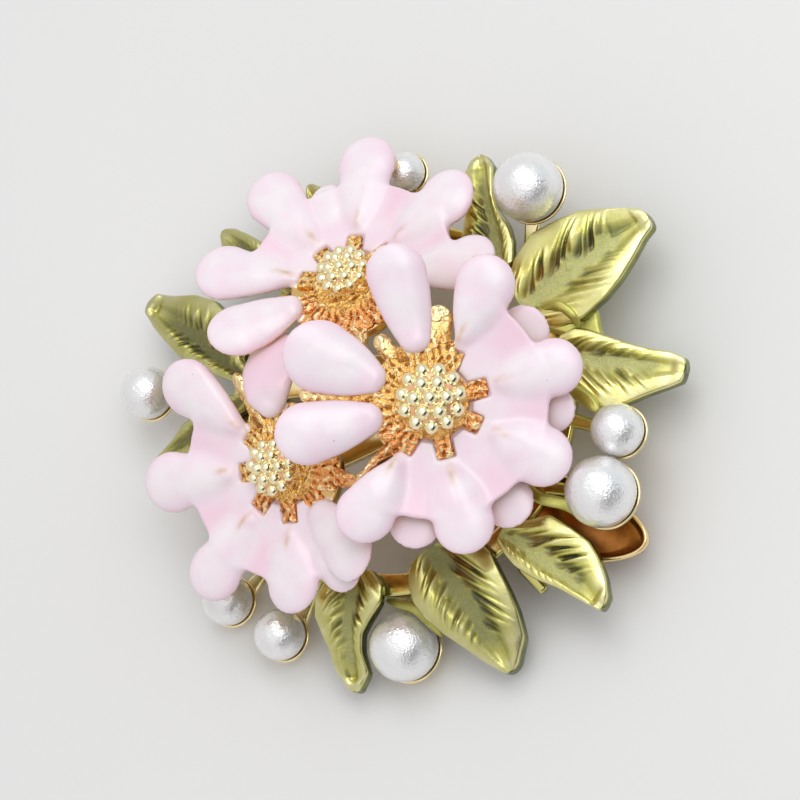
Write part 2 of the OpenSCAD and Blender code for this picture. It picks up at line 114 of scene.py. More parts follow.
# Leaves: base and tip, rows of share of the length, half widths left and right, and rise, then
# spacing of the flutes, slant of the left and of the right ones, how blunt the tip is, and how
# light the leaf's lacquer is in hundredths: lighter and darker copies of it paint the light and
# shade on each leaf
LEAVES = {
    "leaf_top_right": (((10.4, 7.2, .7), (21.6, 13.85, 0)), (
        (0, 2.4, 1.8, 0), (.12, 3.9, 3.4, 0), (.3, 4.9, 4.1, .1), (.5, 4.5, 3.85, .3), (.65, 4, 3.25, .3),
        (.78, 3, 2.3, .1), (.9, 1.95, 1.35, 0), (1, .8, .9, 0)), 1.3, .8, 1.7, .3, 110),
    "leaf_right": (((13.2, 2.9, .3), (24.1, 1.1, -1.3)), (
        (0, 1.6, 1.2, 0), (.12, 2.5, 3, .1), (.25, 2.4, 3.6, .2), (.4, 2, 4.2, .3), (.55, 1.6, 3.8, .2),
        (.72, 1.3, 2.7, .1), (.88, 1.25, 1.8, 0), (1, .8, 1.1, 0)), 1.25, 1.7, 1.1, .2, 110),
    "leaf_lower_right": (((8.3, -11.5, .3), (16.9, -18.4, -.5)), (
        (0, 1.2, .8, 0), (.12, 2, 1.3, .1), (.25, 3.6, 1.6, .2), (.45, 3.8, 1.4, .3), (.62, 3.8, .9, .3),
        (.75, 3.2, .7, .2), (.88, 2.2, .5, 0), (1, .9, .3, 0)), 1.25, 1.0, 1.2, 1, 105),
    "leaf_bottom": (((2.1, -12.3, .4), (7.6, -22.6, -3.3)), (
        (0, 1.4, 2.2, 0), (.12, 3.6, 3.4, .2), (.27, 4.2, 3.8, .7), (.4, 4.1, 3.5, 1.1), (.55, 3.9, 3, 1),
        (.7, 3.5, 2.2, .7), (.86, 2.7, 1.4, .3), (1, .6, .5, 0)), 1.5, 1.5, 1.0, .2, 85),
    "leaf_bottom_left": (((-5.5, -13.4, .3), (-6.7, -23.4, -3.3)), (
        (0, 2, 1.2, 0), (.14, 3.2, 2.3, .4), (.28, 3.2, 3, .8), (.42, 2.1, 3.1, .8), (.54, 1.3, 2.6, .8),
        (.68, 1.1, 2, .6), (.84, 1.5, 1.6, .3), (1, .4, .4, 0)), 1.4, 1.5, 1.1, 1, 90),
    "leaf_lower_left": (((-15.6, 1.8, .3), (-24.9, -2.1, -1.5)), (
        (0, .8, .8, 0), (.2, 1, .9, .2), (.36, 2, 1, .1), (.5, 1.9, 1.3, .2), (.64, 1.6, 1.3, .2),
        (.78, 1.3, .7, .1), (.9, .8, .4, 0), (1, .2, .2, 0)), 1, 1, 1, 0, 75),
    "leaf_left": (((-15, 3.4, .3), (-25.8, 11.8, -1.1)), (
        (0, .7, .7, 0), (.14, 1, 1, 0), (.28, 1.5, 2.4, .1), (.42, 1.9, 3.5, .2), (.56, 2, 3.8, .3),
        (.72, 1.7, 3.1, .3), (.86, 1.4, 1.9, .1), (1, .7, 1, 0)), 1.15, .7, .5, 1, 75),
    "leaf_top_left": (((-10.8, 11.2, .3), (-18.6, 17.5, -1.1)), (
        (0, .8, .8, 0), (.25, 1.2, 1.2, 0), (.5, 1.9, 1.5, .2), (.75, 1.8, 1.2, .2), (.9, 1.1, .9, .1),
        (1, .4, .3, 0)), 1, 1, 1, 0, 75),
    "leaf_tip": (((-6.3, 13.6, .3), (-10.1, 20.5, -.7)), (
        (0, .8, .8, 0), (.4, 1, 1.2, 0), (.7, 1.2, 1.6, .1), (.85, .8, 1.2, 0), (1, .2, .4, 0)),
        1, 1, 1, 0, 75),
    "leaf_top": (((8.4, 10.8, .3), (6.4, 21.2, -.7)), (
        (0, 1.4, 1.2, 0), (.2, 1.6, 1.6, .1), (.34, 3, 1.4, .2), (.5, 2.5, .6, .1), (.62, 2, .5, .3),
        (.74, 1.8, .7, .4), (.87, 1.9, .9, .3), (1, 1, .2, 0)), 1.2, 1.4, 1.3, .5, 90),
}

# Stems and curled slips that belong to the leaves' castings: path, width and thickness
STEMS = {
    "leaf_bottom": (
        (((-2.8, -16.2, 4.6), (-1.4, -16.7, 4.8), (0, -17.2, 4.9), (1.3, -18.4, 4.8), (2.2, -19.5, 4.4)),
         .9, .7),),
    "leaf_lower_right": (
        (((11, -8, 7), (12.2, -9.2, 7.1), (14.2, -9.8, 6.7), (15.8, -10.8, 6.3), (17.1, -11.9, 5.9)),
         1.0, .6),),
    "leaf_right": (
        (((13.8, .8, 6.2), (14.8, -.2, 6.4), (16.1, -1.1, 6.5), (17.2, -2.3, 6.6)), 1.2, .7),
        (((15.1, 8.2, 5.1), (15.6, 6.2, 5.2), (15.9, 4.6, 5.2), (16.6, 2.8, 5)), 2.5, .9)),
    "leaf_top_right": (
        (((12.3, 6.9, 6.6), (13.9, 6.9, 7), (15, 6.1, 6.9), (15.5, 5.2, 6.3)), .8, .6),
        (((11.9, 6.3, 6), (13.6, 5.9, 6.1), (15.4, 5.2, 5.6)), 2.4, .9)),
}


# Numbers and fields

def hash_of(name):
    return sum((i + 3) * ord(c) for i, c in enumerate(name))


def clamp(value):
    return np.clip(value, 0, 1)


def ease(low, high, value):
    """Goes from 0 to 1 while the value goes from low to high."""
    t = clamp((value - low) / (high - low))
    return t * t * (3 - 2 * t)


def fade(low, high, value):
    return 1 - ease(low, high, value)


def smooth_min(a, b, k):
    h = np.clip(k - np.abs(a - b), 0, None) / k
    return minimum(a, b) - h * h * k / 4


def smooth_max(a, b, k):
    return -smooth_min(-a, -b, k)


def turned(x, y, direction):
    """How far a point lies along a direction in degrees, and how far to its left."""
    c, s = cos(radians(direction)), sin(radians(direction))
    return x * c + y * s, y * c - x * s


def rounded_corner(flat, upright, edge):
    """Joins two distances round an edge."""
    return (minimum(maximum(flat, upright), 0)
            + np.hypot(maximum(flat, 0), maximum(upright, 0)) - edge)


LATTICE = np.random.RandomState(11).rand(32, 32, 32).astype(np.float32)


def noise(x, y, z, size):
    """Smooth noise from 0 to 1 whose grains are about as wide as size."""
    out = 0
    cell, part = [], []
    for c in (x, y, z):
        c = np.asarray(c, np.float32) / size + 64
        i = np.floor(c).astype(np.int32)
        f = c - i
        cell.append(i & 31)
        part.append(f * f * (3 - 2 * f))
    for corner in range(8):
        weight, index = 1, []
        for axis in range(3):
            bit = corner >> axis & 1
            index.append((cell[axis] + bit) & 31)
            weight = weight * (part[axis] if bit else 1 - part[axis])
        out = out + weight * LATTICE[index[0], index[1], index[2]]
    return out


def surface(field, low, high, step):
    """Points and quads over the zero level of a field that is negative inside."""
    axes = [np.arange(a, b + step, step, dtype=np.float32) for a, b in zip(low, high)]
    value = field(*np.meshgrid(*axes, indexing="ij")).astype(np.float32)
    inside = value < 0
    cells = tuple(n - 1 for n in value.shape)
    count = np.zeros(cells, np.float32)
    total = np.zeros(cells + (3,), np.float32)
    crossings = []
    for axis in range(3):
        first, second = (tuple(cut if a == axis else slice(None) for a in range(3))
                         for cut in (slice(0, -1), slice(1, None)))
        where = np.nonzero(inside[first] != inside[second])
        crossings.append((where, inside[first][where]))
        v0, v1 = value[first][where], value[second][where]
        share = v0 / (v0 - v1)
        point = np.stack([axes[a][where[a]] for a in range(3)], -1)
        point[:, axis] += share * step
        others = [a for a in range(3) if a != axis]
        for back in ((0, 0), (0, 1), (1, 0), (1, 1)):
            cell = [w.copy() for w in where]
            ok = np.ones(len(cell[0]), bool)
            for a, d in zip(others, back):
                cell[a] -= d
                ok &= (cell[a] >= 0) & (cell[a] < cells[a])
            index = tuple(c[ok] for c in cell)
            np.add.at(count, index, 1)
            np.add.at(total, index, point[ok])
    used = count > 0
    number = np.full(cells, -1, np.int64)
    number[used] = np.arange(used.sum())
    points = (total[used] / count[used][:, None]).astype(np.float64)
    quads = []
    for (a, b), (where, flip) in zip(((1, 2), (2, 0), (0, 1)), crossings):
        ok = (where[a] > 0) & (where[a] < cells[a]) & (where[b] > 0) & (where[b] < cells[b])
        where, flip = [w[ok] for w in where], flip[ok]
        quad = []
        for back in ((1, 1), (0, 1), (0, 0), (1, 0)):
            cell = [w.copy() for w in where]
            cell[a] -= back[0]
            cell[b] -= back[1]
            quad.append(number[tuple(cell)])
        quad = np.stack(quad, -1)
        quad[~flip] = quad[~flip][:, ::-1]
        quads.append(quad)
    for _ in range(3):
        value, slope = gradient(field, points)
        size = (slope ** 2).sum(1) + 1e-6
        move = -slope * (value / size)[:, None]
        points += move * minimum(1, 0.5 * step / (np.linalg.norm(move, axis=1) + 1e-9))[:, None]
    return points, np.concatenate(quads).tolist()


def gradient(field, points):
    """Values of a field at points, and its slopes there."""
    reach = .02
    value = field(*points.T)
    slope = np.zeros_like(points)
    for axis in range(3):
        offset = np.zeros(3)
        offset[axis] = reach
        slope[:, axis] = (field(*(points + offset).T) - field(*(points - offset).T)) / (2 * reach)
    return value, slope


def flower_axes(place):
    """Columns are the flower's own X, Y and Z in the part's frame."""
    _, tilt, toward = place
    turn = Matrix.Rotation(radians(toward), 3, "Z")
    lean = Matrix.Rotation(radians(tilt), 3, "Y")
    return array(turn @ lean @ turn.inverted())


# Meshes

def linked(name, data):
    obj = bpy.data.objects.new(name, data)
    bpy.context.scene.collection.objects.link(obj)
    return obj


def piece(name, points, faces, material, slot, replaced, marks=None):
    """A piece of the visual model from points in millimetres, faces and a number for each point."""
    mesh = bpy.data.meshes.new(name)
    points = (np.asarray(points, float) + CENTRE_SHIFT) * MM
    mesh.from_pydata(points.tolist(), [], faces)
    mesh.materials.append(material)
    mesh.shade_smooth()
    for key, values in (marks or {}).items():
        attribute = mesh.attributes.new(key, "FLOAT", "POINT")
        attribute.data.foreach_set("value", np.asarray(values, np.float32))
    mesh.update()
    obj = linked(name, mesh)
    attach(obj, "root")
    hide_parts(*replaced)


class Shape:
    """Collects parts of one piece."""

    def __init__(self):
        self.points, self.faces, self.count = [], [], 0

    def loft(self, rings, closed=False):
        """Rings of as many points each, with flat ends unless the row is closed."""
        n, rows, first = len(rings[0]), len(rings), self.count
        for k in range(rows if closed else rows - 1):
            a, b = first + k * n, first + (k + 1) % rows * n
            self.faces += [[a + i, a + (i + 1) % n, b + (i + 1) % n, b + i] for i in range(n)]
        self.points.append(np.concatenate(rings))
        self.count += rows * n
        if not closed:
            self.faces.append(list(range(first, first + n))[::-1])
            self.faces.append(list(range(self.count - n, self.count)))

    def all(self):
        return np.concatenate(self.points), self.faces


def rounded(w, h, r, n=4):
    """The section of a bar: a rectangle with rounded corners about the origin."""
    out = []
    for quarter, (right, up) in enumerate(((1, 1), (-1, 1), (-1, -1), (1, -1))):
        for i in range(n + 1):
            a = radians(90 * quarter + 90 * i / n)
            out.append((right * (w / 2 - r) + r * cos(a), up * (h / 2 - r) + r * sin(a)))
    return array(out)


def rod(shape, path, sections, across=None):
    """Sweeps sections of (across, upward) points along a path that is level across, or as given."""
    path = np.asarray(path, float)
    rings = []
    for i, p in enumerate(path):
        t = path[min(i + 1, len(path) - 1)] - path[max(i - 1, 0)]
        t /= np.linalg.norm(t)
        side = np.cross(t, (0, 0, 1)) if across is None else across
        side = side / np.linalg.norm(side)
        top = np.cross(side, t)
        s = np.asarray(sections[i] if isinstance(sections, list) else sections)
        rings.append(p + s[:, :1] * side + s[:, 1:] * top)
    shape.loft(rings)


def lathe(shape, centre, axes, profile, n):
    """Turns a profile of (radius, height) about the third axis."""
    rings = []
    for i in range(n):
        a = 2 * pi * i / n
        radial = axes[:, 0] * cos(a) + axes[:, 1] * sin(a)
        rings.append(array([centre + r * radial + h * axes[:, 2] for r, h in profile]))
    shape.loft(rings[::-1], closed=True)


def curve(points, n):
    """A smooth path through points."""
    points = np.asarray(points, float)
    padded = np.vstack([2 * points[0] - points[1], points, 2 * points[-1] - points[-2]])
    out = []
    for u in np.linspace(0, len(points) - 1, n):
        i = min(int(u), len(points) - 2)
        f = u - i
        a, b, c, d = padded[i:i + 4]
        out.append(.5 * (2 * b + (c - a) * f + (2 * a - 5 * b + 4 * c - d) * f ** 2
                         + (3 * b - a - 3 * c + d) * f ** 3))
    return array(out)


# Materials

class Graph:
    """A new material, or the nodes of the world, with short names for the nodes that it uses."""

    def __init__(self, name=None, tree=None):
        if name:
            self.material = bpy.data.materials.new(name)
            self.material.use_nodes = True
            tree = self.material.node_tree
        self.tree = tree

    def put(self, socket, value):
        if isinstance(value, bpy.types.NodeSocket):
            self.tree.links.new(value, socket)
        else:
            socket.default_value = value

    def fill(self, node, **values):
        """Links or sets a node's inputs, with _ for each space in their names."""
        for key, value in values.items():
            self.put(node.inputs[key.replace("_", " ")], value)
        return node.outputs

    def shade(self, **values):
        self.fill(self.tree.nodes["Principled BSDF"], **values)
        return self.material

    def node(self, kind, **values):
        node = self.tree.nodes.new("ShaderNode" + kind)
        for key, value in values.items():
            setattr(node, key, value)
        return node

    def mark(self, name):
        return self.node("Attribute", attribute_name=name).outputs["Fac"]

    def place(self):
        return self.node("TexCoord").outputs["Object"]

    def noise(self, grain_mm, detail=3, rough=.5):
        return self.fill(self.node("TexNoise"), Scale=1 / (grain_mm * MM), Detail=detail,
                         Roughness=rough, Vector=self.place())["Fac"]

    def ramp(self, value, *stops):
        node = self.node("ValToRGB")
        row = node.color_ramp
        while len(row.elements) < len(stops):
            row.elements.new(.5)
        for element, (at, colour) in zip(row.elements, stops):
            element.position = at
            element.color = (*colour, 1) if isinstance(colour, tuple) else (colour,) * 3 + (1,)
        return self.fill(node, Fac=value)["Color"]

    def mix(self, share, a, b):
        node = self.node("Mix", data_type="RGBA")
        for key, value in (("Factor", share), ("A", a), ("B", b)):
            socket = [s for s in node.inputs if s.name == key and s.enabled][0]
            self.put(socket, (*value, 1) if isinstance(value, tuple) else value)
        return [s for s in node.outputs if s.enabled][0]

    def maths(self, kind, a, b, clamp=False):
        node = self.node("Math", operation=kind, use_clamp=clamp)
        for socket, value in zip(node.inputs, (a, b)):
            self.put(socket, value)
        return node.outputs["Value"]

    def times(self, a, b):
        return self.maths("MULTIPLY", a, b)

    def plus(self, a, b, clamp=False):
        return self.maths("ADD", a, b, clamp)

    def bump(self, height, depth_mm, strength):
        return self.fill(self.node("Bump"), Strength=strength, Distance=depth_mm * MM,
                         Height=height)["Normal"]


def scaled(colour, by):
    return tuple(min(1, c * by) for c in colour)


def enamel_material(name, main, painted_shade, painted_sheen):
    """Enamel: painted sheen on top and shade low, streaks where thin, specks, bare gold behind."""
    g = Graph(name)
    patch, streak, speck_colour = (.93, .69, .81), (.66, .46, .26), (.25, .15, .15)
    bare_gold = (.90, .58, .22)
    # Painted light: the darker, pinker colour paints shade low on the lobes and the pale colour paints
    # sheen on their tops
    colour = g.ramp(g.mark("painted_sheen"), (0, painted_shade), (.45, main), (1, painted_sheen))
    colour = g.mix(g.ramp(g.noise(2.8, 2), (.4, 0.), (.7, .55)), colour, patch)
    colour = g.mix(g.mark("thin"), colour, streak)
    dots = g.fill(g.node("TexVoronoi", feature="F1"), Scale=1 / (2.4 * MM), Vector=g.place())
    speck = g.maths("LESS_THAN", dots["Distance"], .026)
    colour = g.mix(g.times(speck, .6), colour, speck_colour)
    gold = g.mark("gold")
    return g.shade(
        Base_Color=g.mix(gold, colour, bare_gold), Metallic=gold,
        Roughness=g.ramp(gold, (0, .26), (1, .2)), Specular_IOR_Level=.65, Subsurface_Weight=.15,
        Subsurface_Radius=(1, .6, .7), Subsurface_Scale=.8 * MM,
        Normal=g.bump(g.noise(1.3, 2), .05, .5))


def gilt_material():
    """Gilt with marks for the coarse star, its pits and tint, the beads and the glaze between them."""
    g = Graph("gilt")
    bright, bead_colour, pit_colour = (1.0, .84, .48), (1.0, .93, .64), (.26, .07, .01)
    yellow, orange, glaze, lacquer = (.98, .62, .18), (.94, .40, .13), (.90, .50, .28), (.52, .50, .12)
    coarse, pit, green, blush = (g.mark(k) for k in ("coarse", "pit", "green", "blush"))
    grain = g.noise(.13, 3, .7)
    colour = g.mix(g.ramp(g.noise(1.2, 3), (.35, 0.), (.7, 1.)), bright, scaled(bright, .93))
    # Painted reflection: the beads turn a deeper, darker gold towards their outlines as seen from the
    # view
    facing = g.fill(g.node("LayerWeight"), Blend=.35)["Facing"]
    bead = g.mix(facing, bead_colour, tuple(c ** 2.2 for c in bead_colour))
    colour = g.mix(g.mark("bead"), colour, bead)
    star = g.mix(g.mark("tint"), yellow, orange)
    star = g.mix(g.ramp(grain, (.36, .75), (.45, 0.)), star, pit_colour)
    star = g.mix(g.times(g.mark("crest"), .85), star, bright)
    colour = g.mix(coarse, colour, star)
    colour = g.mix(g.times(pit, .85), colour, pit_colour)
    colour = g.mix(blush, colour, glaze)
    return g.shade(
        Base_Color=g.mix(g.times(green, .8), colour, lacquer),
        Metallic=g.maths("SUBTRACT", 1, g.times(blush, .6)),
        Roughness=g.plus(.13, g.times(coarse, .05)),
        Normal=g.bump(g.times(grain, g.plus(.1, coarse)), .07, .9))


def leaf_material(name, shade):
    """Green-gold lacquer with painted shade in grooves and painted highlights on crests,
    with pale sand in the valley and brown in notches.
    """
    g = Graph(name)
    groove_shade_colour, brown = (.05, .075, .055), (.52, .25, .04)
    tones = ((.28, (.30, .31, .06)), (.52, (.60, .57, .15)), (.78, (.74, .70, .28)),
             (1, (.84, .80, .42)))
    # shade is the leaf's painted lightness: its tones and sand are lighter or darker to paint the light
    # and shade on that leaf
    pale = .22 + 2.5 * (shade - .75)
    sand_dark, sand_light = scaled((.60, .63, .24), pale), scaled((1.02, 1.0, .47), pale)
    sand = g.mark("sand")
    grain = g.ramp(g.noise(.13, 3, .8), (.36, 0.), (.64, 1.))
    patch = g.noise(1.6, 3, .6)
    level = g.plus(g.mark("relief"), g.times(g.maths("SUBTRACT", patch, .5), .55), True)
    # The relief mark paints shade, near black at 0 in grooves, and highlights at its top
    colour = g.ramp(level, (0, groove_shade_colour), *((at, scaled(tone, shade)) for at, tone in tones))
    colour = g.mix(g.times(sand, .75), colour, g.mix(grain, sand_dark, sand_light))
    warm = g.times(g.mark("warm"), g.ramp(patch, (.4, .3), (.65, 1.)))
    return g.shade(
        Base_Color=g.mix(warm, colour, brown), Metallic=g.maths("SUBTRACT", 1, g.times(sand, .6)),
        Roughness=g.plus(.27, g.times(sand, .2)), Coat_Weight=.25, Coat_Roughness=.2,
        Normal=g.bump(g.times(grain, g.plus(.15, sand)), .05, .8))


def pearl_material():
    """White pearl coating with fine wrinkles."""
    g = Graph("pearl")
    wrinkle = g.bump(g.plus(g.noise(.38, 2, .5), g.times(g.noise(.16, 2, .5), .9)), .07, .8)
    return g.shade(
        Base_Color=g.mix(g.noise(1.4, 3), (.97, .965, .96), (.92, .915, .925)), Metallic=.65,
        Roughness=.22, Coat_Weight=.5, Coat_Roughness=.1, Normal=wrinkle, Coat_Normal=wrinkle)


def copper_material():
    """Brushed copper-coloured gilt, paler on the rim."""
    g = Graph("copper_gilt")
    edge = g.mark("edge")
    colour = g.mix(g.noise(.9, 3, .6), (.36, .12, .025), (.66, .28, .07))
    return g.shade(
        Base_Color=g.mix(edge, colour, (.93, .72, .38)), Metallic=1,
        Roughness=g.ramp(edge, (0, .3), (1, .15)), Normal=g.bump(g.noise(.35, 3), .02, .5))


PINK = enamel_material("pink_enamel", (.935, .78, .855), (.925, .66, .765), (.94, .865, .905))
# A darker, greyer copy of the pink enamel for the lobes lying under the others: painted shade
SHADED_UNDER_PINK = enamel_material("shaded_under_pink_enamel", (.88, .71, .78), (.83, .61, .69), (.86, .75, .80))
GILT = gilt_material()
# Lighter and darker copies of one lacquer, painted for the light and shade on each leaf
LIT_AND_SHADED_LACQUERS = {shade: leaf_material(f"leaf_lacquer_{shade}", shade / 100)
            for shade in sorted({values[-1] for values in LEAVES.values()})}
NACRE = pearl_material()
COPPER = copper_material()


# Enamelled flowers

# Kinds of lobe: where the narrow end starts, its radius, share of the full height there
LOBE_KINDS = {"joined": (5.3, .62, .72), "free": (4.2, 1.35, .72), "low": (7, 1.5, .9)}
LOBE_BULGE, CURL_GAIN = .2, 1.35
TOOTH_END, TOOTH_HALF = 4.75, .72
HEART_R, FLOOR_EDGE = 3.2, 5.3
# Rows of balls in a heart: angle from the top, number, diameter, turn as a share of the spacing
BALL_ROWS = ((0, 1, 1.32, 0), (18.5, 6, 1.3, 0), (34, 11, 1.24, .2))


def lobe(row, high, low, kind, x, y, z):
    """A puffed teardrop from a small circle near the heart to a large one at the tip."""
    direction, reach, half, lift = row
    u, v = turned(x, y, direction)
    v = np.abs(v)
    start, narrow, share_high = LOBE_KINDS[kind]
    wide = min(half, 3)
    first, length = start + narrow, reach - wide - start - narrow
    u1 = u - first
    lean = (narrow - wide) / length
    level = sqrt(1 - lean * lean)
    share = clamp((level * u1 - lean * v) / (level * length))
    d = np.where(share <= 0, np.hypot(u1, v) - narrow,
                 np.where(share >= 1, np.hypot(u1 - length, v) - wide, level * v + lean * u1 - narrow))
    bulge = LOBE_BULGE * 4 * share * (1 - share)
    size = narrow + (wide - narrow) * share + bulge
    q = maximum(1 + (d - bulge) / size, 0)
    t = np.clip((u - LOBE_START) / (reach - LOBE_START), 0, 1.05)
    rise = CURL_GAIN * t ** 3
    bottom = low + TIP_CURL * rise + lift * t * t
    if kind == "free":
        bottom = bottom + .4 * fade(3.6, 8.5, u)
    thick = high * (share_high + (1 - share_high) * ease(0, .7, share)) * (1 - TIP_THINNING * rise)
    dz = z - bottom - .36 * thick
    tall = np.where(dz > 0, .64 * thick, .36 * thick)
    k0 = np.sqrt(q ** 2 + (dz / tall) ** 2)
    k1 = np.sqrt((q / size) ** 2 + (dz / tall ** 2) ** 2) + 1e-4
    return k0 * (k0 - 1) / k1


def web(a0, a1, reach, rise, top, x, y, z):
    """The sheet between two lobes, which sinks a little between them."""
    middle, half = radians((a0 + a1) / 2), radians(abs(a1 - a0) / 2)
    r = np.hypot(x, y)
    turn = np.arctan2(y, x) - middle
    turn = np.abs((turn + pi) % (2 * pi) - pi)
    flat = maximum((turn - half) * r, maximum(r - reach + .2, 3.4 - r))
    t = np.clip((r - LOBE_START) / (reach - LOBE_START), 0, 1.2)
    return rounded_corner(flat, np.abs(z - (top - .45 + rise * t * t)) - .25, .2)


def disc(radius, low, high, x, y, z):
    """A flat disc with a rounded edge."""
    edge = .15
    return rounded_corner(np.hypot(x, y) - radius + edge,
                          np.abs(z - (low + high) / 2) - (high - low) / 2 + edge, edge)


def strip(direction, start, reach, half, low, high, x, y, z, edge=.12, slope=0.0, flare=0.0, nose=0.0):
    """A bar along a direction, with a sloping top, a wider end and a rounded nose where asked."""
    u, v = turned(x, y, direction)
    top = high - slope * (u - start)
    wide = half * (1 + flare * clamp((u - start) / (reach - start)))
    if nose:
        wide = wide * np.sqrt(np.clip(1 - (maximum(0, u - reach + nose) / nose) ** 2, .1, 1))
    d = (np.abs(u - (start + reach) / 2) - (reach - start) / 2 + edge, np.abs(v) - wide + edge,
         np.abs(z - (low + top) / 2) - (top - low) / 2 + edge)
    outside = np.sqrt(sum(maximum(q, 0) ** 2 for q in d))
    return minimum(maximum(maximum(d[0], d[1]), d[2]), 0) + outside - edge


def enamel(name, place, lobes, webs, floor_top, slots, material, replaced, heights, rims=()):
    """One layer of a flower: lobes, webs between them, and a floor with slots for the teeth."""
    def coat(*at):
        lobed, *others = [lobe(*row, *at) for row in lobes]
        for other in others:
            lobed = smooth_min(lobed, other, .3)
        return smooth_min(lobed, minimum.reduce([web(*row, *at) for row in webs]), .8)

    def field(*at):
        floor = disc(FLOOR_EDGE, floor_top - FLOOR_T, floor_top, *at)
        cut = disc(HEART_R, floor_top, floor_top + 4, *at)
        for a, end in slots:
            slot = strip(a, 2, end + .06, TOOTH_HALF + .07, floor_top, floor_top + 4, *at)
            cut = minimum(cut, slot)
        out = smooth_max(smooth_min(coat(*at), floor, .35), -cut, .28)
        return maximum(out, .9 - np.hypot(*at[:2]))

    reach = max(row[0][1] for row in lobes) + .4
    bottom, top = heights
    points, quads = surface(field, (-reach, -reach, bottom), (reach, reach, top), ENAMEL_STEP)
    _, slope = gradient(field, points)
    up = slope[:, 2] / (np.linalg.norm(slope, axis=1) + 1e-9)
    bare = ease(.12, .3, coat(*points.T))
    x, y, z = points.T
    painted_sheen, thin, edge = (np.zeros(len(points)) for _ in range(3))
    for row, high, low, kind in lobes:
        direction, end, half, lift = row
        u, v = turned(x, y, direction)
        t = clamp((u - LOBE_START) / (end - LOBE_START))
        bottom = low + TIP_CURL * CURL_GAIN * t ** 3 + lift * t * t
        near = np.exp(-(v / (half * .9)) ** 4) * ease(LOBE_START - 1, LOBE_START + 2, u)
        # This mark paints sheen high on each lobe and shade low on its sides; lobes lifted far down get
        # none, so they are painted in shade
        painted_sheen = maximum(painted_sheen, near * ease(.1, .75, (z - bottom) / high) * (lift > -2))
        if kind == "joined":
            amount = .6 + .45 * (direction * 7.31 % 1)
            aside = v - .35 * cos(radians(direction))
            thin = maximum(thin, amount * np.exp(-((u - 6.05) / .75) ** 2 - (aside / .26) ** 2))
        if direction in rims:
            edge = maximum(edge, near * ease(.38, .2, up))
    # Webs near the heart get the middle of the painted sheen and shade ramp
    painted_sheen = maximum(painted_sheen, .6 * fade(5, 8, np.hypot(x, y)))
    thin *= ease(.2, .7, up) * (.25 + 1.2 * noise(x, y, z, .45))
    gold = maximum(maximum(bare, ease(-.2, -.4, up)), edge)
    points = points @ flower_axes(place).T + array(place[0])
    piece(name, points, quads, material, "pink_enamel", replaced,
          {"gold": gold, "painted_sheen": painted_sheen, "thin": clamp(thin)})


def tooth_end(flower, i):
    return TOOTH_END - (.45 if i == flower["short_tooth"] else .1)


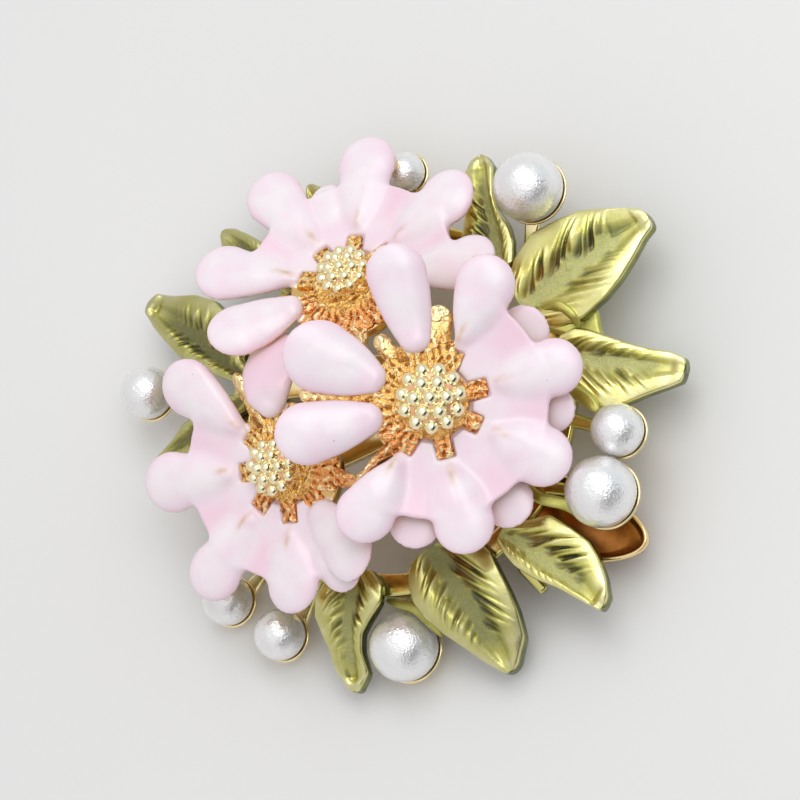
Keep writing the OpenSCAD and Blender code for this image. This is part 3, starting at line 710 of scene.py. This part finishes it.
def heart(name, flower, replaced):
    """Ball-studded dome on a star of coarse gold, with its pads and rays."""
    dome_r = ((DOME_D / 2) ** 2 + DOME_H ** 2) / (2 * DOME_H)
    centre = STAR_Z + .6 + DOME_H - dome_r
    across, along, size = flower["cluster"]
    root, base = STAR_Z + .3, STAR_Z - .05

    def bunch(x, y, z):
        return (x - across) / size, (y - along) / size, root + (z - root) / size

    def balls(*at):
        x, y, z = bunch(*at)
        turn, r = np.arctan2(y, x), np.hypot(x, y)
        out = None
        for tilt, n, d, phase in BALL_ROWS:
            a, step = radians(tilt), 2 * pi / n
            local = (turn - phase * step + step / 2) % step - step / 2
            f = np.sqrt((r * np.cos(local) - dome_r * sin(a)) ** 2 + (r * np.sin(local)) ** 2
                        + (z - centre - dome_r * cos(a)) ** 2) - d / 2
            out = f if out is None else smooth_min(out, f, .03)
        return out * size

    def dome(*at):
        x, y, z = bunch(*at)
        ball = np.sqrt(x * x + y * y + (z - centre) ** 2) - dome_r - .12
        return size * smooth_max(smooth_max(ball, STAR_Z - .3 - z, .1), np.hypot(x, y) - 2.5, .1)

    def star(*at):
        out = disc(2.95, base, STAR_Z + .5, *at)
        for i, row in enumerate(flower["lobes"]):
            reach, half, top, slope = 4.9, .9, .3, .04
            if i in flower["joined"]:
                reach, half, top, slope = tooth_end(flower, i), TOOTH_HALF, .66, .17
            tooth = strip(row[0], 2, reach, half, base, STAR_Z + top, *at, .12, slope)
            out = smooth_min(out, tooth, .1)
        for a in flower["pads"]:
            out = smooth_min(out, strip(a, 2, 5.2, 1.7, base, STAR_Z + .5, *at, .2, .1), .3)
        for a, reach, inner, outer in flower["rays"]:
            ray = strip(a, 2.5, reach, inner / 2, FLOOR_TOP - .45, FLOOR_TOP + .5, *at, .42, .06,
                        outer / inner - 1, .6 * outer)
            out = smooth_min(out, ray, .3)
        return out

    def relief(x, y, z):
        turn, r = np.arctan2(y, x), np.hypot(x, y)
        ribs = np.abs(np.sin(17 * turn + 3 * noise(x, y, z, .9))) - .6
        crests = clamp(1 - np.abs(noise(x, y, z, .36) - .5) / .17)
        lumps = .13 * (crests - .4) + .07 * (noise(x, y, z, .16) - .5)
        return (lumps + .12 * ribs * ease(2.7, 3.4, r)) * (1 - .35 * ease(5.2, 6.5, r))

    def field(*at):
        return smooth_min(smooth_min(star(*at) - relief(*at), dome(*at), .2), balls(*at), .05)

    low, high = [-5.5, -5.5, -.2], [5.5, 5.5, 4.3]
    for a, reach, *_ in flower["rays"]:
        for axis, k in enumerate((cos(radians(a)), sin(radians(a)))):
            low[axis] = min(low[axis], reach * k - 1.1)
            high[axis] = max(high[axis], reach * k + 1.1)
    points, quads = surface(field, low, high, HEART_STEP)
    x, y, z = points.T
    off_balls, off_dome, bumps = balls(x, y, z), dome(x, y, z), relief(x, y, z)
    coarse = ease(0, .1, minimum(off_balls, off_dome))
    from_middle = np.hypot(*bunch(x, y, z)[:2])
    blush = ease(0, .07, off_balls) * ease(2.6, 2.4, from_middle) * ease(.1, .03, off_dome)
    for a, reach, *_ in flower["rays"]:
        u, v = turned(x, y, a)
        coarse *= 1 - .75 * ease(.6, .95, u / reach) * ease(1.2, .7, np.abs(v))
    rim_of_ball = ease(.01, .04, off_balls) * ease(.12, .06, off_balls)
    pit = maximum(coarse * ease(-.04, -.09, bumps), .75 * rim_of_ball)
    outer = ease(2.6, 3.6, np.hypot(x, y))
    tint = ease(.6, -.3, np.cos(np.arctan2(y, x) - 2.1)) * outer + .2
    points = points @ flower_axes(flower["place"]).T + array(flower["place"][0])
    piece(name, points, quads, GILT, "gilt", replaced,
          {"coarse": coarse, "pit": pit, "blush": blush, "bead": ease(.06, .01, off_balls),
           "crest": coarse * ease(.01, .07, bumps), "tint": clamp(tint)})


for key, flower in FLOWERS.items():
    rows, joined = flower["lobes"], flower["joined"]
    lobes = [(row, LOBE_HEIGHT, 0, "joined" if i in joined else "free") for i, row in enumerate(rows)]
    lobes += [(row, UNDER_LOBE_HEIGHT, 0, "low") for row in flower["low_lobes"]]
    webs = [(rows[i][0], rows[i + 1][0], WEB_REACH, WEB_RISE, WEB_TOP) for i in joined[:-1]]
    webs += [(a, b, WEB_REACH, 0, WEB_TOP) for a, b in flower["low_join"]]
    slots = [(rows[i][0], tooth_end(flower, i)) for i in joined]
    lowest = min(-.8, min(row[3] for row in rows) - .4)
    enamel(key + "_enamel", flower["place"], lobes, webs, FLOOR_TOP, slots, PINK, (key + "_petals",),
           (lowest, 3.4), flower["gilt_rims"])
    heart(key + "_gold", flower, (key + "_heart",))

under_low = UNDER_TOP - FLOOR_T
enamel("right_flower_under_enamel", FLOWERS["right_flower"]["place"],
       [(row, FLOOR_T + .2, under_low, "joined") for row in RIGHT_UNDER_LOBES],
       [(a[0], b[0], UNDER_WEB_REACH, 0, UNDER_TOP)
        for a, b in zip(RIGHT_UNDER_LOBES, RIGHT_UNDER_LOBES[1:])],
       UNDER_TOP, (), SHADED_UNDER_PINK, ("right_flower_under_petals",), (under_low - .4, 1.2))


# Leaves

def leaf(name, ends, rows, spacing, slant_left, slant_right, blunt, shade):
    """A cast leaf: a sandy valley along its middle, slanting flutes beside it and a smooth flange."""
    base, tip = (array(p, float) + (0, 0, LEAF_FLOOR) for p in ends)
    run = tip - base
    flat = hypot(*run[:2])
    along = array((*run[:2] / flat, 0))
    left = array((-along[1], along[0], 0))
    rows = array(rows, float)
    s = np.linspace(0, 1, LEAF_ROWS)
    s = .0015 + .997 * (s - .035 * np.sin(2 * pi * s))
    fine, reach = np.linspace(0, 1, 401), 30
    kernel = np.exp(-.5 * (np.arange(-reach, reach + 1) / 6.5) ** 2)
    kernel /= kernel.sum()

    def smooth(column):
        row = np.interp(fine, rows[:, 0], rows[:, column])
        return np.interp(s, fine, np.convolve(np.pad(row, reach, "edge"), kernel, "valid"))

    def closing(share):
        return np.sqrt(clamp(1 - (1 - clamp(share)) ** 2))

    close = closing(s / .03) * closing((1 - s) / .028)
    wl, wr, rise = maximum(smooth(1) * close, .02), maximum(smooth(2) * close, .02), smooth(3)
    tau = np.linspace(-1, 1, LEAF_COLUMNS)
    S, T = np.meshgrid(s, np.sin(tau * pi / 2) * .45 + tau * .55, indexing="ij")
    half = np.where(T > 0, wl[:, None], wr[:, None])
    Y, A, X = T * half, np.abs(T), S * flat
    seed = hash_of(name) % 97 * 3.1
    span = np.clip(half / 2.8, 0, 1.15)
    middle = np.clip((wl + wr)[:, None] / 5.6, 0, 1.15)
    chance = np.random.RandomState(hash_of(name))
    across = np.abs(Y)
    groove, ridge, notch = (np.zeros_like(Y) for _ in range(3))
    for on_left, slant in ((True, slant_left), (False, slant_right)):
        x = -.3 * flat
        while x < .74 * flat:
            x += spacing * chance.uniform(.4, .85) * (1 if on_left else .8)
            begin, stop = chance.uniform(.05, .26), chance.uniform(.62, 1)
            depth, broad = chance.uniform(.4, 1), chance.uniform(.12, .24)
            if not on_left:
                depth, broad = .6 * depth, .65 * broad
            line = x + slant * across + chance.uniform(-.06, .12) * across ** 2
            d = (X - line) / sqrt(1 + slant * slant)
            part = clamp((A - begin) / (stop - begin))
            shown = ease(0, .12, part) * fade(.45, 1, part) * span
            shown = shown * ((T > 0) == on_left) * depth
            shown = shown * ease(.01, .06, S) * fade(.62, .82, S)
            cut = shown * np.exp(-(d / (broad * (1.7 - 1.3 * part))) ** 2)
            groove = maximum(groove, cut)
            lit = shown if on_left else 1.8 * shown
            ridge = maximum(ridge, lit * np.exp(-((d - .30) / .18) ** 2))
            notch = maximum(notch, cut * np.exp(-((part - .22) / .2) ** 2))
    ends_fade = ease(0, .12, S) * fade(.84, .98, S)
    valley = fade(.06, .52, A)
    flange = .22 * clamp(1 - ((A - .62) / .38) ** 2) * span
    level = middle + (span - middle) * ease(0, .5, A)
    inset = clamp((A * half - (half - .22)) / .22)
    rounding = .16 * (1 - np.sqrt(clamp(1 - inset ** 2)))
    lumps = .14 * (noise(X, Y, seed, 2.1) - .5)
    sand = fade(.08, .60, A + .4 * (noise(X, Y, seed, .9) - .5))
    sand = sand * fade(.70, .9, S)
    sand = sand * (1 - .85 * clamp(groove)) * (1 - .6 * clamp(ridge))
    to_tip = (1 - S) * flat
    roll = .16 * np.exp(-((to_tip - .5) / .35) ** 2)
    roll = blunt * (roll - .2 * np.exp(-((to_tip - 1.15) / .3) ** 2 - (A / .55) ** 2))
    Z = rise[:, None] + LEAF_T - .42 * valley * ends_fade * level + flange + lumps + roll
    Z = Z - .26 * groove + .13 * ridge - .16 * notch
    # Painted light in the relief mark: shade in grooves, notches, the valley and its left slope, and
    # highlights on ridges, the flange, the rolled tip and towards the tip, with painted shade at the edge
    relief = .64 - .74 * groove + .34 * ridge - .3 * notch - .16 * valley * ends_fade + .9 * roll
    relief -= .14 * np.exp(-((A - .26) / .17) ** 2) * (T > 0) * ends_fade
    relief += .20 * ease(.55, .85, A) - .6 * ease(.985, .997, A)
    if name == "leaf_top_right":
        fold = ease(.70, .72, S - .10 * A) * fade(.90, .93, S) * (T > 0)
        fold = fold * ease(.10, .16, A) * fade(.86, .92, A)
        off_stud = np.abs(X - 5.2) + np.abs(Y - .5)
        stud = ease(.40, .28, off_stud) * ease(.05, .2, off_stud)
        Z = Z - .30 * fold * (1.1 - A) + .2 * stud
        # Painted shade on the fold and a painted highlight on the stud
        relief = relief - .24 * fold + .3 * stud
        sand = maximum(sand * (1 - fold), .4 * fold)
    grit = sand * (.05 * (noise(X, Y, seed, .22) - .5) + .03 * (noise(X, Y, seed + 9, .11) - .5))
    Z = Z - rounding + grit + run[2] * S
    relief = relief + 3 * grit + .2 * ease(.72, .92, S)
    # Painted shade on the end rings
    relief[[0, -1]] = .12
    warm = clamp(notch * 1.5) * (.25 + .75 * ease(.45, .12, S))
    # Each ring runs over the face, down one side, back underneath and up the other side
    pick = np.linspace(LEAF_COLUMNS - 1, 0, LEAF_UNDER_COLUMNS).astype(int)
    under = run[2] * S + rise[:, None]
    skirt = (.03 - .32 * ease(.2, .4, s))[:, None]
    lowered = A > .97
    lowered[[0, -1]] = True
    foot = under + skirt
    walls = [Z[:, [j]] + (foot[:, [j]] - Z[:, [j]]) * array((.25, .5, .75)) for j in (-1, 0)]
    ring_y = np.hstack([Y, Y[:, [-1] * 3], Y[:, pick] * .96, Y[:, [0] * 3]])
    ring_z = np.hstack([Z, walls[0], (under + skirt * lowered)[:, pick], walls[1][:, ::-1]])
    rings = base + along * flat * s[:, None, None] + left * ring_y[..., None]
    rings[..., 2] += ring_z

    def ring_marks(face, wall, below):
        side = np.full((LEAF_ROWS, 3), wall)
        return np.hstack([face, side, np.full((LEAF_ROWS, LEAF_UNDER_COLUMNS), below), side]).ravel()

    shape = Shape()
    shape.loft(rings)
    # Side walls and underside get low relief marks: painted shade
    marks = [ring_marks(relief, .12, .15), ring_marks(warm, 0., 0.), ring_marks(sand, 0., .5)]
    for path, width, thick in STEMS.get(name, ()):
        before = shape.count
        path = curve(path, 24)
        sizes = [max(.15, 1 - abs(2 * k / (len(path) - 1) - 1) ** 3.5) ** .5 for k in range(len(path))]
        rod(shape, path, [rounded(width * q, thick * q, min(width, thick) * q * .42) for q in sizes])
        marks = [np.append(m, np.full(shape.count - before, v)) for m, v in zip(marks, (.45, 0., .1))]
    relief, warm, sand = marks
    piece(name + "_blade", *shape.all(), LIT_AND_SHADED_LACQUERS[shade], "leaf_lacquer", (name,),
          {"relief": clamp(relief), "warm": warm, "sand": sand})


for key, values in LEAVES.items():
    leaf(key, *values)


# Pearls

def ball(centre, r, n=40):
    """A ball with a slightly uneven surface."""
    turns = np.linspace(0, 2 * pi, 2 * n, endpoint=False)
    shape = Shape()
    shape.loft([array([centre + r * array((sin(a) * cos(b), sin(a) * sin(b), -cos(a))) for b in turns])
                for a in (pi * i / n for i in range(1, n))])
    points, faces = shape.all()
    rel = (points - centre) / r
    return centre + rel * (1 + .004 * (noise(*(rel * 3 + 20).T, 1) - .5))[:, None] * r, faces


for i, (x, y, z, d, _) in enumerate(PEARLS):
    piece(f"pearl_{i + 1}_nacre", *ball(array((x, y, z), float), d / 2), NACRE, "pearl",
          (f"pearl_{i + 1}",))


# Frame

def way(a):
    return array((cos(a), sin(a), 0))


def on_ring(degrees):
    return RING_MIDDLE + RING_R * way(radians(degrees))


def post_foot(place):
    """Where a flower's post meets the ring's level."""
    c, tilt, toward = place
    aside = tan(radians(tilt)) * (c[2] - RING_MID)
    return array((c[0], c[1], RING_MID)) - aside * way(radians(toward))


def cup_wall(radius, rim, n=12):
    """A section from near a ball's bottom up to a rim that is a given depth under its middle."""
    span = pi / 2 - asin(rim / radius)
    angles = [-pi / 2 + span * k / n for k in range(1, n + 1)]
    return [(radius * cos(a), radius * sin(a)) for a in angles]


def add_cup_and_arm(shape, centre, d, leaves_at):
    r = d / 2
    outer, inner = r + GAP + CUP_WALL - CUP_THINNING, r + GAP
    outside, inside = cup_wall(outer, CUP_RIM * r), cup_wall(inner, CUP_RIM * r)
    (wide, lip), narrow = outside[-1], sqrt(inner ** 2 - (CUP_RIM * r) ** 2)
    rounding = [((wide + narrow) / 2 + (wide - narrow) / 2 * cos(b), lip + .12 * sin(b))
                for b in (pi * k / 6 for k in range(1, 6))]
    profile = [(.001, -outer)] + outside + rounding + inside[::-1] + [(.001, -inner)]
    lathe(shape, centre, np.eye(3), profile, CUP_STEPS)
    begin = on_ring(leaves_at)
    heading = begin[:2] - centre[:2]
    side = heading / np.linalg.norm(heading) * r * ARM_SIDE
    end = centre + array((*side, -r * ARM_DROP))
    bend = array((0, 0, -.12 * abs(end[2] - begin[2])))
    path = curve([begin, *(begin + (end - begin) * t + bend for t in (.35, .7)), end], 22)
    rod(shape, path, [rounded(ARM_W * (1 - .18 * sin(pi * t)), ARM_T * (1 - .1 * t), .3)
                      for t in np.linspace(0, 1, 22)])


def build_frame():
    """Ring, spokes, posts under the flowers, arms with the pearls' cups, and a stub."""
    shape = Shape()
    section = rounded(RING_W, RING_T, .28)
    radials = [way(2 * pi * i / RING_STEPS) for i in range(RING_STEPS)]
    rise = section[:, 1:] * array((0, 0, 1))
    shape.loft([RING_MIDDLE + RING_R * radial + section[:, :1] * radial + rise
                for radial in radials[::-1]], closed=True)
    feet = {k: post_foot(f["place"]) for k, f in FLOWERS.items()}
    for a, b in ((on_ring(204), feet["left_flower"]), (feet["left_flower"], feet["right_flower"]),
                 (feet["right_flower"], on_ring(12)), (feet["top_flower"], on_ring(100))):
        rod(shape, [a + (b - a) * t for t in np.linspace(0, 1, 9)], rounded(RING_W, RING_T * .96, .28))
    for key, flower in FLOWERS.items():
        place, r = flower["place"], POST_D / 2
        top = (UNDER_TOP if key == "right_flower" else FLOOR_TOP) - FLOOR_T - GAP
        low = -(place[0][2] - RING_MID) / cos(radians(place[1]))
        profile = [
            (0, low - .1), (r, low - .1), (r, low), (r * .92, low + .6), (r * .8, low + 1.2),
            (r * .8, top - 1), (r * .9, top - .5), (r, top - .2), (r, top), (r * .9, top), (0, top)]
        lathe(shape, array(place[0]), flower_axes(place), profile, POST_STEPS)
    for x, y, z, d, leaves_at in PEARLS:
        add_cup_and_arm(shape, array((x, y, z), float), d, leaves_at)
    stub = curve([(9.6, -14.2, 4.5), (10.6, -15.4, 4.5), (11.4, -16.4, 4.4)], 12)
    rod(shape, stub, [rounded(1.2 - .4 * k / 11, .9, .28) for k in range(12)])
    points, faces = shape.all()
    green = ease(RING_R - .6, RING_R + 1.2, np.hypot(*(points[:, :2] - RING_CENTRE).T))
    for x, y, z, d, _ in PEARLS:
        near = np.linalg.norm(points - array((x, y, z)), axis=1)
        green *= ease(d / 2 + .7, d / 2 + 1.5, near)
    piece("gilt_frame", points, faces, GILT, "gilt", ("frame",), {"green": green})


build_frame()


# Back plate and pin

def build_plate():
    """A shallow oval dish with a thin upright wall, whose edge is bright."""
    shape = Shape()
    wall, base, rim = .34, .34, PLATE_T
    share, offset, up = array((
        (0, 0, 0), (.5, 0, 0), (.9, 0, 0), (1, -.55, 0), (1, -.2, .08), (1, 0, .3), (1, 0, rim - .12),
        (1, -.08, rim), (1, -wall + .08, rim), (1, -wall, rim - .1), (1, -wall, base + .5),
        (1, -wall - .12, base + .2), (1, -wall - .5, base), (.85, 0, base - .03), (.5, 0, base - .08),
        (0, 0, base - .1))).T
    rings = []
    for a in (2 * pi * i / PLATE_STEPS for i in range(PLATE_STEPS)):
        nx, ny = cos(a) / PLATE_L, sin(a) / PLATE_W
        size = hypot(nx, ny)
        x = PLATE_L / 2 * cos(a) * maximum(share, .002) + offset * nx / size
        y = PLATE_W / 2 * sin(a) * maximum(share, .002) + offset * ny / size
        x, y = turned(x, y, -PLATE_TURN)
        rings.append(np.stack((PLATE_CENTRE[0] + x, PLATE_CENTRE[1] + y, PLATE_Z + up), 1))
    shape.loft(rings[::-1], closed=True)
    bright = (share == 1) & (offset > -wall - .05) & (up > .05)
    piece("copper_dish", *shape.all(), COPPER, "copper_gilt", ("back_plate",),
          {"edge": np.tile(bright, PLATE_STEPS)})


def build_pin():
    """Bar with its two blocks, hinge cheeks with their axle, stem and hook of the catch."""
    shape = Shape()
    end = PIN_BAR / 2
    x0, y0 = RING_CENTRE[0], RING_CENTRE[1] + PIN_Y
    hinge, catch = x0 - end + PIN_BLOCK / 2, x0 + end - PIN_BLOCK / 2
    bar_mid, top = PIN_HEIGHT - PIN_BAR_T / 2, RING_Z - GAP

    def bar(x, half, y, z, section, n=2):
        rod(shape, [(x + t, y, z) for t in np.linspace(-half, half, n)], section)

    bar(x0, end, y0, bar_mid, rounded(PIN_W, PIN_BAR_T, .25), 21)
    for x in (hinge, catch):
        bar(x, PIN_BLOCK / 2, y0, (bar_mid + top) / 2, rounded(PIN_W * .9, top - bar_mid, .15))
    for y in (-1.1, 1.1):
        bar(hinge, .95, y0 + y, 1.15, rounded(.6, 2.3, .29))
    stem_z = STEM_D / 2 + STEM_LIFT
    lathe(shape, array((hinge, y0, stem_z + .1)), array(((1, 0, 0), (0, 0, -1), (0, 1, 0))),
          [(.001, -1.45), (.38, -1.45), (.45, -1.35), (.45, 1.35), (.38, 1.45), (.001, 1.45)], 24)
    shares = np.linspace(0, 1, 30)
    sizes = [STEM_D * (1 if t < .8 else 1 - .55 * (t - .8) / .2) for t in shares]
    rod(shape, [(hinge + (PIN_BAR - PIN_BLOCK) * t, y0, stem_z) for t in shares],
        [rounded(d, d, d * .49, 5) for d in sizes])
    hook = [(catch, y0 + y, z) for y, z in (
        (1.2, 2.2), (1.25, 1.1), (.9, .4), (.1, .22), (-.7, .45), (-.9, .95))]
    rod(shape, curve(hook, 26), rounded(PIN_BLOCK * .85, .4, .15), (1, 0, 0))
    piece("pin_and_catch", *shape.all(), GILT, "gilt", ("pin_clasp",))


build_plate()
build_pin()


# Floor, light and camera

def stage():
    mesh, half = bpy.data.meshes.new("floor"), .6
    corners = [(x * half, y * half, 0) for x, y in ((-1, -1), (1, -1), (1, 1), (-1, 1))]
    mesh.from_pydata(corners, [], [(0, 1, 2, 3)])
    g = Graph("pale_floor")
    mesh.materials.append(
        g.shade(Base_Color=g.mix(g.noise(40, 2), (.80, .80, .79), (.83, .83, .82)), Roughness=.5))
    floor = linked("floor", mesh)


def studio_world(back, right, up):
    """Soft white surroundings, bluish on the right, with dark patches beside and below the camera."""
    world = bpy.context.scene.world = bpy.data.worlds.new("studio")
    world.use_nodes = True
    g = Graph(tree=world.node_tree)
    generated = g.node("TexCoord").outputs["Generated"]

    def toward(direction, inner, outer):
        """1 within an angle of a direction, 0 beyond a wider one."""
        dot = g.node("VectorMath", operation="DOT_PRODUCT")
        for socket, value in zip(dot.inputs, (generated, direction.normalized())):
            g.put(socket, value)
        low, high = (cos(radians(a)) for a in (outer, inner))
        return g.fill(g.node("MapRange", interpolation_type="SMOOTHSTEP"),
                      Value=dot.outputs["Value"], From_Min=low, From_Max=high)["Result"]

    arc = g.times(toward(back, 50, 58), g.maths("SUBTRACT", 1, toward(back, 20, 27)))
    arc = g.times(arc, toward(back * .5 + right * .7 - up * .6, 38, 56))
    colour = (.68, .67, .67)
    for mask, share, paint in (
            (toward(Vector((.3, .1, .95)), 36, 60), 1, (.94, .94, .95)),
            (toward(right * .5 - up * .7 + back * .6, 20, 75), .6, (1, .97, .98)),
            (toward(right + up * .3, 25, 70), .5, (.42, .60, .68)),
            (arc, 1, (.03, .03, .035)),
            (toward(back * .56 + right * .83 - up * .1, 8, 27), .6, (.06, .05, .06)),
            (toward(back * .2 + right * .6 - up * .9, 14, 26), 1, (.10, .08, .06))):
        colour = g.mix(g.times(mask, share), colour, paint)
    g.fill(g.tree.nodes["Background"], Color=colour, Strength=.98)


def lights_and_camera():
    scene = bpy.context.scene
    yaw, pitch = (tan(radians(a)) for a in (CAMERA_YAW, CAMERA_PITCH))
    back = Vector((yaw, -pitch, 1)).normalized()
    right = Vector((0, 1, 0)).cross(back).normalized()
    up = back.cross(right)
    studio_world(back, right, up)
    light = bpy.data.lights.new("key", "AREA")
    light.shape = "RECTANGLE"
    light.size, light.size_y, light.energy = .40, .17, .5
    key = linked("key", light)
    key.location = (.13, .12, .36)
    key.rotation_euler = (Vector((0, 0, .008)) - key.location).to_track_quat("-Z", "Y").to_euler()
    scene.view_settings.view_transform = "Standard"
    data = bpy.data.cameras.new("camera")
    data.sensor_width = SENSOR_W
    data.lens = SENSOR_W * CAMERA_DISTANCE / (IMAGE_W / PX_PER_MM)
    data.clip_start, data.clip_end = .01, 10
    camera = linked("camera", data)
    spot = Vector(CAMERA_TARGET) * MM + back * (CAMERA_DISTANCE * MM)
    camera.matrix_world = Matrix.Translation(spot) @ Matrix((right, up, back)).transposed().to_4x4()
    scene.camera = camera


stage()
lights_and_camera()
bpy.context.view_layer.update()
